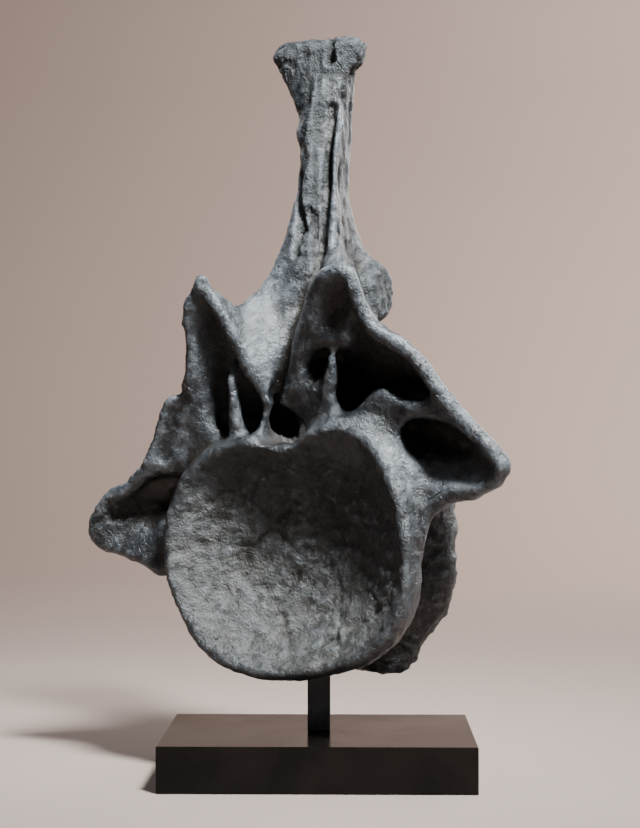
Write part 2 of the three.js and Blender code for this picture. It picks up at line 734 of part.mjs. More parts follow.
// The height of the bone's underside over the middle of the block
function undersideOver(bone) {
  const points = bone.getAttribute("position");
  let lowest = Infinity;
  for (let i = 0; i < points.count; i++)
    if (Math.hypot(points.getX(i), points.getY(i)) < 1.5 * POST_SIDE)
      lowest = Math.min(lowest, points.getZ(i));
  return lowest;
}

function boxBetween(side, low, high) {
  return new THREE.BoxGeometry(side, side, high - low).translate(0, 0, (low + high) / 2);
}

// The block: a box with its edges broken by a small bevel
function blockGeometry() {
  const across = BASE_WIDTH / 2 - BASE_BEVEL;
  const deep = BASE_DEPTH / 2 - BASE_BEVEL;
  const outline = new THREE.Shape([
    new THREE.Vector2(-across, -deep), new THREE.Vector2(across, -deep),
    new THREE.Vector2(across, deep), new THREE.Vector2(-across, deep),
  ]);
  return new THREE.ExtrudeGeometry(outline, {
    depth: BASE_HEIGHT - 2 * BASE_BEVEL,
    bevelEnabled: true,
    bevelThickness: BASE_BEVEL,
    bevelSize: BASE_BEVEL,
    bevelSegments: 1,
  }).translate(0, 0, BASE_BEVEL);
}

const FOSSIL = new THREE.MeshStandardMaterial({ color: 0x3f4245, roughness: 0.55, metalness: 0 });
const BRONZED = new THREE.MeshStandardMaterial({ color: 0x2a2422, roughness: 0.25, metalness: 0.8 });
const BLACKENED = new THREE.MeshStandardMaterial({ color: 0x0b0b0c, roughness: 0.5, metalness: 0.6 });

function named(name, geometry, material) {
  const mesh = new THREE.Mesh(geometry, material);
  mesh.name = name;
  return mesh;
}

function assemble() {
  const bone = boneGeometry();
  const postTop = undersideOver(bone) + POST_SOCKET;
  const postBottom = BASE_HEIGHT + JOINT_GAP;
  const socket = boxBetween(POST_SIDE + 2 * JOINT_GAP, postBottom, postTop + JOINT_GAP);
  const vertebra = geometryOfSolid(solidOf(bone).subtract(solidOf(socket)));
  const post = boxBetween(POST_SIDE, postBottom, postTop);
  return new THREE.Group().add(
    named("vertebra", vertebra, FOSSIL),
    named("stand_base", blockGeometry(), BRONZED),
    named("stand_post", post, BLACKENED),
  );
}

export default assemble();
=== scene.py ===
"""A fossil tail vertebra of a long-necked dinosaur on its post and block, ready to render."""

import logging
import math
from dataclasses import dataclass
from enum import Enum
from typing import Any, Callable, Iterable, Sequence

import bmesh
import bpy
import numpy as np
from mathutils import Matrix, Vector, noise


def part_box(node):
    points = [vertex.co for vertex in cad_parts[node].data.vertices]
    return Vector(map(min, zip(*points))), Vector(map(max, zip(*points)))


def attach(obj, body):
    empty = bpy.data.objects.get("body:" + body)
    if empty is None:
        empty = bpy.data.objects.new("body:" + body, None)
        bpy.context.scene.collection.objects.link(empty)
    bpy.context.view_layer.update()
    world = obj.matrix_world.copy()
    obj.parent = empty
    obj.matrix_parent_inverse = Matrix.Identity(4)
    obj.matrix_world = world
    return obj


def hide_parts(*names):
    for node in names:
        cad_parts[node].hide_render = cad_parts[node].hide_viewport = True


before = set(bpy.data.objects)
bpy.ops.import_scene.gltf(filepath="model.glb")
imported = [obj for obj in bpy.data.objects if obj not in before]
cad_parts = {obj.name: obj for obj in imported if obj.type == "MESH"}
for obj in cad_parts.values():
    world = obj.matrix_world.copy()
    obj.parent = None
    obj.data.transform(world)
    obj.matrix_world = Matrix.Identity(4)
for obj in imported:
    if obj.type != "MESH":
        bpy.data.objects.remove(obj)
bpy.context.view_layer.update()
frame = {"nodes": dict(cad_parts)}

log = logging.getLogger("vertebra")

MM = 0.001
ROOT = "root"

# The bone's own frame: its middle line is x = 0 and its front face looks along -Y
BONE_TURN = math.radians(-26.0)
BONE_ORIGIN = (-41.0, -68.0, 243.0)

Colour = tuple[float, float, float]
Point = tuple[float, float, float]
# Two measures between which a mask eases from 0 to 1
Band = tuple[float, float]
# Takes places in the bone's frame, one in each row, and gives how far each lies inside, 0 to 1
Region = Callable[[np.ndarray], np.ndarray]

# Where a carving's region is weaker than this, its pattern isn't worked out
LEAST_SHARE = 0.01


class Finish(str, Enum):
    """The record's material slots."""

    BONE = "fossil_bone"
    BLOCK = "bronzed_block"
    POST = "blackened_steel"


class Relief(Enum):
    """Kinds of roughness that are carved into the bone's surface."""

    LUMPS = "lumps"
    GRAIN = "grain"
    CRESTS = "crests"
    PITS = "pits"
    CRACKS = "cracks"
    PLAIN = "plain"


def smoothstep(values: np.ndarray, low: float, high: float) -> np.ndarray:
    """Eases values from 0 at low to 1 at high.

    Args:
        values: Numbers to ease.
        low: The value that gives 0.
        high: The value that gives 1, which may be below low.

    Returns:
        The eased numbers, between 0 and 1.
    """
    t = np.clip((values - low) / (high - low), 0.0, 1.0)
    return t * t * (3.0 - 2.0 * t)


def bone_frame(points: np.ndarray) -> np.ndarray:
    """Turns places in the part's frame into the bone's own.

    Args:
        points: Places in metres, one in each row.

    Returns:
        The same places in the bone's frame, in millimetres.
    """
    moved = points / MM - np.array(BONE_ORIGIN)
    c, s = math.cos(-BONE_TURN), math.sin(-BONE_TURN)
    return moved @ np.array([[c, s, 0.0], [-s, c, 0.0], [0.0, 0.0, 1.0]])


class Value:
    """One number of a material at each point, with arithmetic that adds the Math nodes."""

    def __init__(self, nodes: "NodeBook", socket: bpy.types.NodeSocket) -> None:
        """Wraps a socket of the node tree that nodes fills."""
        self.nodes = nodes
        self.socket = socket

    def _maths(self, operation: str, *terms: Any) -> "Value":
        """Adds one Math node.

        Args:
            operation: The node's operation.
            terms: Values or numbers, in the order of its inputs.

        Returns:
            The node's result.
        """
        node = self.nodes.add("ShaderNodeMath", {"operation": operation}, dict(enumerate(terms)))
        return Value(self.nodes, node.outputs[0])

    def __add__(self, other: Any) -> "Value":
        """This value plus another."""
        return self._maths("ADD", self, other)

    def __radd__(self, other: Any) -> "Value":
        """Another value plus this one."""
        return self._maths("ADD", other, self)

    def __sub__(self, other: Any) -> "Value":
        """This value minus another."""
        return self._maths("SUBTRACT", self, other)

    def __rsub__(self, other: Any) -> "Value":
        """Another value minus this one."""
        return self._maths("SUBTRACT", other, self)

    def __mul__(self, other: Any) -> "Value":
        """This value times another."""
        return self._maths("MULTIPLY", self, other)

    def __rmul__(self, other: Any) -> "Value":
        """Another value times this one."""
        return self._maths("MULTIPLY", other, self)

    def eased(self, low: float, high: float) -> "Value":
        """Eases from 0 at low to 1 at high.

        Args:
            low: The value that gives 0.
            high: The value that gives 1, which may be below low.

        Returns:
            A value between 0 and 1.
        """
        low_end, high_end, ends = (low, high, (0.0, 1.0)) if low < high else (high, low, (1.0, 0.0))
        node = self.nodes.add(
            "ShaderNodeMapRange",
            {"interpolation_type": "SMOOTHSTEP"},
            {"Value": self, "From Min": low_end, "From Max": high_end, "To Min": ends[0], "To Max": ends[1]},
        )
        return Value(self.nodes, node.outputs["Result"])


class NodeBook:
    """The node tree of one material, with one method for every kind of node."""

    def __init__(self, name: str) -> None:
        """Starts an empty material of that name with its two closing nodes."""
        self.material = bpy.data.materials.new(name)
        self.material.use_nodes = True
        self.tree = self.material.node_tree
        self.tree.nodes.clear()
        self.surface = self.add("ShaderNodeBsdfPrincipled", {}, {})
        self.add("ShaderNodeOutputMaterial", {}, {"Surface": self.surface.outputs["BSDF"]})
        self.place = self.add("ShaderNodeTexCoord", {}, {}).outputs["Object"]

    def add(self, kind: str, settings: dict[str, Any], inputs: dict[Any, Any]) -> bpy.types.Node:
        """Adds a node.

        Args:
            kind: The node's type.
            settings: Its own properties, set before its sockets are touched.
            inputs: Values or links of its sockets, by name or number.

        Returns:
            The new node.
        """
        node = self.tree.nodes.new(kind)
        for name, setting in settings.items():
            setattr(node, name, setting)
        for name, given in inputs.items():
            self.feed(node.inputs[name], given)
        return node

    def feed(self, socket: bpy.types.NodeSocket, given: Any) -> None:
        """Links or sets one input.

        Args:
            socket: The input.
            given: A Value, an output socket, a number, or a colour or vector.
        """
        if isinstance(given, Value):
            given = given.socket
        if isinstance(given, bpy.types.NodeSocket):
            self.tree.links.new(given, socket)
        elif isinstance(given, tuple) and socket.type == "RGBA" and len(given) == 3:
            socket.default_value = (*given, 1.0)
        else:
            socket.default_value = given

    def scaled(self, stretch: Point, shift: Point = (0.0, 0.0, 0.0)) -> bpy.types.NodeSocket:
        """The piece's own coordinates, stretched and shifted.

        Args:
            stretch: Factor along each axis.
            shift: What is added along each axis.

        Returns:
            The new coordinates.
        """
        node = self.add("ShaderNodeMapping", {}, {"Vector": self.place, "Scale": stretch, "Location": shift})
        return node.outputs["Vector"]

    def wobbled(self, scale: float, amount: float) -> bpy.types.NodeSocket:
        """The piece's own coordinates, pushed about by a noise.

        Args:
            scale: Scale of the noise, per metre.
            amount: How far it pushes, in metres.

        Returns:
            The new coordinates.
        """
        push = self.add("ShaderNodeTexNoise", {}, {"Vector": self.place, "Scale": scale, "Detail": 3.0})
        scaled = self.add(
            "ShaderNodeVectorMath", {"operation": "MULTIPLY_ADD"},
            {0: push.outputs["Color"], 1: (amount, amount, amount), 2: self.place},
        )
        return scaled.outputs["Vector"]

    def noise(self, scale: float, detail: float = 4.0, rough: float = 0.55, distort: float = 0.0,
              place: bpy.types.NodeSocket | None = None) -> Value:
        """A cloudy pattern.

        Args:
            scale: How many clouds a metre.
            detail: How many finer layers it has.
            rough: How strong the finer layers are.
            distort: How much the pattern is twisted.
            place: Coordinates, the piece's own by default.

        Returns:
            A value round 0.5.
        """
        node = self.add(
            "ShaderNodeTexNoise", {},
            {"Vector": place or self.place, "Scale": scale, "Detail": detail, "Roughness": rough,
             "Distortion": distort},
        )
        return Value(self, node.outputs["Fac"])

    def flakes(self, scale: float, detail: float) -> Value:
        """A pattern of sharp crests, like flaked stone.

        Args:
            scale: How many crests a metre.
            detail: How many finer layers it has.

        Returns:
            A value from about 0 to 1, highest on the crests.
        """
        node = self.add(
            "ShaderNodeTexNoise", {"noise_type": "RIDGED_MULTIFRACTAL", "normalize": True},
            {"Vector": self.place, "Scale": scale, "Detail": detail, "Roughness": 0.6, "Distortion": 0.6},
        )
        return Value(self, node.outputs["Fac"])

    def cells(self, scale: float, feature: str = "F1", place: bpy.types.NodeSocket | None = None) -> Value:
        """A pattern of cells.

        Args:
            scale: How many cells a metre.
            feature: F1 for the distance to the nearest cell's middle, DISTANCE_TO_EDGE to its edge.
            place: Coordinates, the piece's own by default.

        Returns:
            The distance, in cells.
        """
        node = self.add(
            "ShaderNodeTexVoronoi", {"feature": feature}, {"Vector": place or self.place, "Scale": scale}
        )
        return Value(self, node.outputs["Distance"])

    def attribute(self, name: str) -> Value:
        """The mesh's own number of that name at each point."""
        node = self.add("ShaderNodeAttribute", {"attribute_name": name}, {})
        return Value(self, node.outputs["Fac"])

    def blend(self, share: Value, first: Any, second: Any) -> bpy.types.NodeSocket:
        """Mixes two colours.

        Args:
            share: How much of the second shows.
            first: A colour or a link to one.
            second: A colour or a link to one.

        Returns:
            The mixed colour.
        """
        node = self.add(
            "ShaderNodeMix", {"data_type": "RGBA", "blend_type": "MIX", "clamp_factor": True},
            {0: share, 6: first, 7: second},
        )
        return node.outputs[2]

    def bumped(self, height: Value, distance: float, strength: float,
               normal: bpy.types.NodeSocket | None = None) -> bpy.types.NodeSocket:
        """A bumpy normal.

        Args:
            height: The surface's height, in steps of distance.
            distance: How high a step is, in metres.
            strength: Share of the effect that shows.
            normal: A bumpy normal to build on.

        Returns:
            The new normal.
        """
        inputs = {"Height": height, "Distance": distance, "Strength": strength}
        if normal is not None:
            inputs["Normal"] = normal
        return self.add("ShaderNodeBump", {}, inputs).outputs["Normal"]

    def finish(self, fixed: dict[str, Any], varied: dict[str, Any]) -> bpy.types.Material:
        """Sets the surface.

        Args:
            fixed: Numbers that are the same all over.
            varied: Values or links that change over the surface.

        Returns:
            The finished material.
        """
        for name, given in {**fixed, **varied}.items():
            self.feed(self.surface.inputs[name], given)
        return self.material


@dataclass(frozen=True)
class FossilFinish:
    """Dark mineral bone, mottled in blue grey, ash and brown, cracked, with a low sheen, and with painted
    shade, painted highlights and a painted sheen laid into its colour.
    """

    slate: Colour = (0.0075, 0.0085, 0.0105)
    ash: Colour = (0.026, 0.0285, 0.032)
    # umber: brown stains, and brown painted shade in broad concave places
    umber: Colour = (0.021, 0.0150, 0.0095)
    # sand: sandy tone, with painted light low in the dish
    sand: Colour = (0.092, 0.087, 0.076)
    # pale: painted sheen, painted highlights on crests and crinkles, and worn crests
    pale: Colour = (0.106, 0.115, 0.127)
    # near black: painted shade in the tent, creases and crinkle troughs, and the fill of cracks and pores
    shade_and_crack_black: Colour = (0.0022, 0.0020, 0.0017)
    roughness: float = 0.30
    grain_height: float = 0.0030
    crinkle_height: float = 0.0060
    flake_height: float = 0.0022
    crack_height: float = 0.0012

    def material(self) -> bpy.types.Material:
        """Builds the material.

        Returns:
            The material, which reads the bone's attributes crest, fold, warm, pale, bleached, coarse
            and hollow; bleached lays a painted sheen into the colour and hollow painted shade.
        """
        book = NodeBook("fossil bone")
        crest = book.attribute("crest")
        fold = book.attribute("fold")
        warm = book.attribute("warm")
        pale = book.attribute("pale")
        painted_sheen = book.attribute("painted_sheen")
        coarse = book.attribute("coarse")
        painted_shade = book.attribute("painted_shade")

        broad = book.noise(7.0, 5.0, 0.6, 0.4)
        patches = book.noise(22.0, 7.0, 0.66, 0.8)
        blotches = book.noise(75.0, 6.0, 0.68, 0.3)
        crinkles = book.noise(120.0, 5.0, 0.62, 1.2)
        flakes = book.flakes(84.0, 6.0)
        grain = book.noise(380.0, 4.0, 0.62)
        drifted = book.wobbled(30.0, 0.020)
        seams = book.cells(20.0, "DISTANCE_TO_EDGE", drifted).eased(0.018, 0.003)
        hairs = book.cells(62.0, "DISTANCE_TO_EDGE", book.wobbled(80.0, 0.010)).eased(0.045, 0.008)
        seam_places = book.scaled((1, 1, 1), (3.1, 1.7, 0.4))
        kept_seams = seams * book.noise(11.0, 3.0, 0.5, 0.2, seam_places).eased(0.56, 0.66)
        kept_hairs = hairs * book.noise(17.0, 3.0).eased(0.52, 0.64)
        pores = book.cells(210.0).eased(0.30, 0.12) * book.noise(22.0, 2.0).eased(0.48, 0.64)

        colour = book.blend(patches.eased(0.42, 0.62), self.slate, self.ash)
        colour = book.blend((blotches.eased(0.52, 0.70) * 0.55 + warm * 0.75) * broad.eased(0.30, 0.58),
                            colour, self.umber)
        flecks = book.noise(48.0, 7.0, 0.72, 0.6, book.scaled((1, 1, 1), (0.7, 2.3, 1.1)))
        # Sand tone: low in the dish partly the bone's own tone and partly painted light on its lower side;
        # faint on the front rim
        colour = book.blend(pale * (0.42 + flecks.eased(0.42, 0.62) * 0.58) * 0.78, colour, self.sand)
        # Painted sheen: pale bluish patches on the medial sheets and both webs
        colour = book.blend(painted_sheen * (0.15 + flecks.eased(0.40, 0.62) * 0.85) * 0.88, colour, self.pale)
        # Pale on the raised crests: partly wear, partly a painted highlight on the edges
        worn = crest.eased(0.55, 0.95) * (0.20 + blotches.eased(0.35, 0.65) * 0.60)
        colour = book.blend(worn, colour, self.pale)
        # Painted shade: near black inside the front tent on the -x side, with weaker darkening on the rear
        # facets, the ridge and the spine top
        colour = book.blend(painted_shade * 0.92, colour, self.shade_and_crack_black)
        # Painted shade: near black in fine creases and pits, where the surface is concave
        colour = book.blend((1.0 - crest).eased(0.52, 0.95) * 0.8, colour, self.shade_and_crack_black)
        # Painted shade in brown: broad concave places darkened towards umber
        colour = book.blend((1.0 - fold).eased(0.52, 1.0) * 0.75, colour, self.umber)
        colour = book.blend((kept_seams * 0.7 + kept_hairs * 0.5 + pores * 0.7).eased(0.0, 1.0),
                            colour, self.shade_and_crack_black)
        # Painted shade: near black in the troughs of the crinkles, which the bump below also raises
        colour = book.blend(0.65 * crinkles.eased(0.50, 0.34), colour, self.shade_and_crack_black)
        # Painted highlight: pale on the tops of the crinkles, more on coarse places and none where shade is
        # painted
        crinkle_highlight = (0.06 + coarse * 0.18) * (1.0 - painted_shade) * crinkles.eased(0.52, 0.68)
        colour = book.blend(crinkle_highlight, colour, self.pale)

        rough = self.roughness + painted_shade * 0.2 + patches.eased(0.3, 0.7) * 0.16 + coarse * 0.16
        rough = rough - crest.eased(0.5, 1.0) * 0.10 + (grain - 0.5) * 0.3
        normal = book.bumped(crinkles * (0.20 + coarse * 0.50) + blotches * 0.5, self.crinkle_height, 0.9)
        normal = book.bumped(flakes * (0.10 + coarse * 1.00), self.flake_height, 0.9, normal)
        normal = book.bumped(grain * (0.30 + coarse * 0.90), self.grain_height, 0.8, normal)
        sunk = 1.0 - (kept_seams * 0.9 + kept_hairs * 0.45 + pores * 0.6)
        normal = book.bumped(sunk, self.crack_height, 0.8, normal)
        return book.finish(
            {"Metallic": 0.0, "IOR": 1.5, "Specular IOR Level": 0.5},
            {"Base Color": colour, "Roughness": rough, "Normal": normal},
        )


@dataclass(frozen=True)
class BronzedFinish:
    """Dark bronzed metal, rubbed to a satin polish with faint clouds and hairline rubs."""

    dark: Colour = (0.0022, 0.0018, 0.0016)
    warm: Colour = (0.0060, 0.0044, 0.0036)
    rub: Colour = (0.030, 0.022, 0.018)
    roughness: float = 0.11

    def material(self) -> bpy.types.Material:
        """Builds the material."""
        book = NodeBook("bronzed metal")
        clouds = book.noise(9.0, 5.0, 0.6, 0.5)
        stains = book.noise(34.0, 5.0, 0.6, 1.0)
        streaks = book.noise(1.0, 4.0, 0.6, 0.0, book.scaled((9.0, 420.0, 420.0)))
        specks = book.cells(260.0).eased(0.16, 0.05) * stains.eased(0.52, 0.66)
        colour = book.blend(clouds.eased(0.35, 0.70), self.dark, self.warm)
        colour = book.blend(stains.eased(0.55, 0.75) * 0.35, colour, self.dark)
        colour = book.blend(specks * 0.6, colour, self.rub)
        rough = self.roughness + clouds.eased(0.3, 0.7) * 0.10 + (streaks - 0.5) * 0.06 + stains * 0.04
        normal = book.bumped(streaks * 0.5 + stains * 0.8, 0.00006, 0.5)
        return book.finish(
            {"Metallic": 0.0, "IOR": 1.20},
            {"Base Color": colour, "Roughness": rough, "Normal": normal},
        )


@dataclass(frozen=True)
class BlackenedFinish:
    """Blackened mild steel, matte, with mill marks along its length."""

    black: Colour = (0.014, 0.014, 0.015)
    grey: Colour = (0.045, 0.044, 0.044)
    roughness: float = 0.46

    def material(self) -> bpy.types.Material:
        """Builds the material."""
        book = NodeBook("blackened steel")
        clouds = book.noise(30.0, 5.0, 0.6, 0.4)
        marks = book.noise(1.0, 4.0, 0.6, 0.0, book.scaled((520.0, 520.0, 26.0)))
        colour = book.blend(clouds.eased(0.4, 0.7) * 0.6 + marks.eased(0.5, 0.7) * 0.4, self.black, self.grey)
        rough = self.roughness + (clouds - 0.5) * 0.3 + (marks - 0.5) * 0.2
        return book.finish(
            {"Metallic": 0.4, "IOR": 1.5},
            {"Base Color": colour, "Roughness": rough,
             "Normal": book.bumped(marks + clouds * 0.6, 0.0001, 0.5)},
        )


@dataclass(frozen=True)
class PaperFinish:
    """Pale seamless paper for the studio floor."""

    pale: Colour = (0.250, 0.191, 0.164)
    worn: Colour = (0.240, 0.183, 0.157)

    def material(self) -> bpy.types.Material:
        """Builds the material."""
        book = NodeBook("pale paper")
        colour = book.blend(book.noise(3.0, 4.0), self.pale, self.worn)
        return book.finish({"Roughness": 0.85}, {"Base Color": colour})


@dataclass(frozen=True)
class Zone:
    """A region of the bone round a line of places in its own frame, in millimetres."""

    path: tuple[Point, ...]
    radius: float
    soft: float = 0.5

    def mask(self, points: np.ndarray) -> np.ndarray:
        """How far places lie inside the region.

        Args:
            points: Places in the bone's frame, one in each row.

        Returns:
            1 well inside, 0 outside.
        """
        rows = np.array(self.path, float)
        nearest = np.linalg.norm(points - rows[0], axis=1)
        for start, end in zip(rows[:-1], rows[1:]):
            along = end - start
            share = np.clip((points - start) @ along / (along @ along), 0.0, 1.0)
            nearest = np.minimum(nearest, np.linalg.norm(points - start - share[:, None] * along, axis=1))
        return smoothstep(nearest, self.radius, self.radius * (1.0 - self.soft))


@dataclass(frozen=True)
class Carving:
    """One kind of roughness, cut or raised over a region of the bone."""

    kind: Relief
    height: float
    width: float = 10.0
    region: Region | None = None
    stretch: Point = (1.0, 1.0, 1.0)
    seed: float = 0.0

    def heights(self, points: np.ndarray) -> np.ndarray:
        """Heights of the roughness.

        Args:
            points: Places in the bone's frame, one in each row, in millimetres.

        Returns:
            How far each place moves outwards, in millimetres.
        """
        share = np.ones(len(points)) if self.region is None else self.region(points)
        out = np.zeros(len(points))
        placed = points / (self.width * np.array(self.stretch)) + self.seed
        for i in np.nonzero(share > LEAST_SHARE)[0]:
            out[i] = self._pattern(Vector(placed[i]))
        return out * share * self.height

    def _pattern(self, place: Vector) -> float:
        """The pattern's height at one place, from about -1 to 1, and 1 all over for a plain one."""
        if self.kind is Relief.PLAIN:
            return 1.0
        if self.kind is Relief.LUMPS:
            return noise.noise(place)
        if self.kind is Relief.GRAIN:
            return noise.fractal(place, 0.9, 2.1, 4)
        if self.kind is Relief.CRESTS:
            return 1.0 - 2.6 * abs(noise.noise(place)) + 0.4 * noise.noise(place * 2.3)
        distances = noise.voronoi(place)[0]
        if self.kind is Relief.PITS:
            return -max(0.0, 1.0 - distances[0] / 0.42) ** 0.7
        return -max(0.0, 1.0 - (distances[1] - distances[0]) / 0.14)


@dataclass
class Vertebra:
    """The bone, carved more finely than its solid."""

    finish: FossilFinish = FossilFinish()
    voxel: float = 0.0032
    merge_distance: float = 1e-6
    smoothing_rounds: int = 14
    smoothing_pulls: tuple[float, float] = (0.52, -0.54)
    last_pull: float = 0.4
    near_rounds: int = 6
    near_pull: float = 0.6
    far_rounds: int = 60
    far_pull: float = 0.7
    crest_height: float = 0.9
    fold_height: float = 4.0
    rim_crest_loss: float = 0.7
    rim_half_width: float = 150.0
    rim_half_height: float = 129.0
    dish_share: Band = (1.02, 0.86)
    dish_front: Band = (72.0, 58.0)
    dish_fade: Band = (120.0, -60.0)
    rim_inside: Band = (0.80, 0.92)
    rim_outside: Band = (1.25, 1.08)
    rim_front: Band = (34.0, 18.0)
    rear_start: Band = (78.0, 98.0)
    rear_inside: Band = (0.62, 0.80)
    rear_outside: Band = (1.35, 1.15)
    rear_face_start: Band = (126.0, 140.0)
    below_arch: Band = (150.0, 120.0)
    ridge: Zone = Zone(((2, 60, 322), (2, 62, 364), (2, 64, 398), (2, 66, 443), (3, 69, 487),
                        (4, 78, 530)), 17)
    ridge_side: Zone = Zone(((12, 68, 340), (13, 73, 390), (13, 73, 450)), 9, 0.9)
    broken_block: Zone = Zone(((2, 61, 354), (2, 62, 378)), 14, 0.35)
    spine_top: Zone = Zone(((-44, 102, 562), (36, 103, 566)), 46, 0.6)
    groove: Zone = Zone(((20, 62, 335), (21, 66, 372), (22, 69, 402), (23, 74, 432), (24, 76, 470),
                         (25, 78, 500)), 8, 0.9)
    groove_lip: Zone = Zone(((31, 62, 340), (31, 66, 372), (31, 68, 402), (31, 70, 440),
                             (33, 81, 492)), 8, 0.9)
    left_groove: Zone = Zone(((-9, 57, 334), (-9, 61, 372), (-11, 66, 402), (-13, 70, 428)), 7, 0.9)
    cleft: Zone = Zone(((17, 81, 586), (18, 79, 570), (20, 80, 554)), 9, 0.8)
    # One of the places where a painted sheen lies
    left_web: Zone = Zone(((132, 12, 112), (160, 30, 88), (215, 26, 78)), 32)
    pocket_floor: Zone = Zone(((166, 34, 97), (200, 31, 96), (228, 22, 94)), 20, 0.9)
    web_edge: Zone = Zone(((-140, 9, 180), (-158, 12, 157), (-169, 16, 140), (-180, 21, 120), (-191, 24, 102),
                           (-212, 30, 88), (-240, 33, 72)), 7, 0.8)
    web_hollow: Zone = Zone(((-129, 10, 176), (-146, 12, 154), (-156, 17, 134), (-165, 22, 112)), 15, 0.9)
    # Inside the front tent on the -x side, where shade is painted into the colour
    tent_painted_shade: Zone = Zone(((-136, 46, 240), (-138, 50, 205), (-128, 60, 170)), 50, 0.4)
    spine_side: Zone = Zone(((30, 98, 330), (30, 100, 520)), 34)
    front_tips: Zone = Zone(((-95, 20, 290), (-104, 24, 262)), 34)
    left_tip: Zone = Zone(((68, 24, 284), (90, 30, 250), (126, 44, 214)), 40)
    wing_ends: tuple[Zone, Zone] = (
        Zone(((-252, 60, 36), (-240, 60, 52)), 40),
        Zone(((244, 50, 112), (236, 60, 96)), 34),
    )
    # The medial sheets and the web below, where a painted sheen lies
    medial_sheets: Zone = Zone(((-40, 40, 300), (-24, 40, 262), (-34, 34, 222)), 44)
    right_web: Zone = Zone(((-146, 12, 150), (-164, 22, 112)), 36)
    rear_facets: tuple[Zone, Zone] = (
        Zone(((57, 130, 296),), 44, 0.4),
        Zone(((-57, 130, 296),), 44, 0.4),
    )

    def rim_share(self, points: np.ndarray) -> np.ndarray:
        """How far out places lie from the middle of the centrum, 1 at its rim."""
        return np.hypot(points[:, 0] / self.rim_half_width, points[:, 2] / self.rim_half_height)

    def dish(self, points: np.ndarray) -> np.ndarray:
        """1 in the concave front face of the centrum, 0 elsewhere."""
        inside = smoothstep(self.rim_share(points), *self.dish_share)
        return inside * smoothstep(points[:, 1], *self.dish_front)

    def front_rim(self, points: np.ndarray) -> np.ndarray:
        """1 on the rim of the front face, 0 elsewhere."""
        share = self.rim_share(points)
        ring = smoothstep(share, *self.rim_inside) * smoothstep(share, *self.rim_outside)
        return ring * smoothstep(points[:, 1], *self.rim_front)

    def rear_rim(self, points: np.ndarray) -> np.ndarray:
        """1 on the rim of the rear face, 0 elsewhere."""
        share = self.rim_share(points)
        ring = smoothstep(share, *self.rear_inside) * smoothstep(share, *self.rear_outside)
        return ring * smoothstep(points[:, 1], *self.rear_start) * smoothstep(points[:, 2], *self.below_arch)

    def rear_face(self, points: np.ndarray) -> np.ndarray:
        """1 on the domed rear face, 0 elsewhere."""
        back = smoothstep(points[:, 1], *self.rear_face_start)
        return back * smoothstep(points[:, 2], *self.below_arch)

    def dish_sand_and_light(self, points: np.ndarray) -> np.ndarray:
        """1 low in the concave front face, where its sandy tone and painted light lie, fading upwards to 0.
        """
        return self.dish(points) * smoothstep(points[:, 2] + 0.5 * points[:, 0], *self.dish_fade)

    def facets(self, points: np.ndarray) -> np.ndarray:
        """1 on the two rear joint facets, 0 elsewhere."""
        return np.max([facet.mask(points) for facet in self.rear_facets], axis=0)

    def rough_tips(self, points: np.ndarray) -> np.ndarray:
        """1 on the roughened tips where muscle was fixed, 0 elsewhere."""
        zones = (self.spine_top, self.front_tips, self.left_tip, *self.wing_ends)
        return np.max([zone.mask(points) for zone in zones], axis=0)

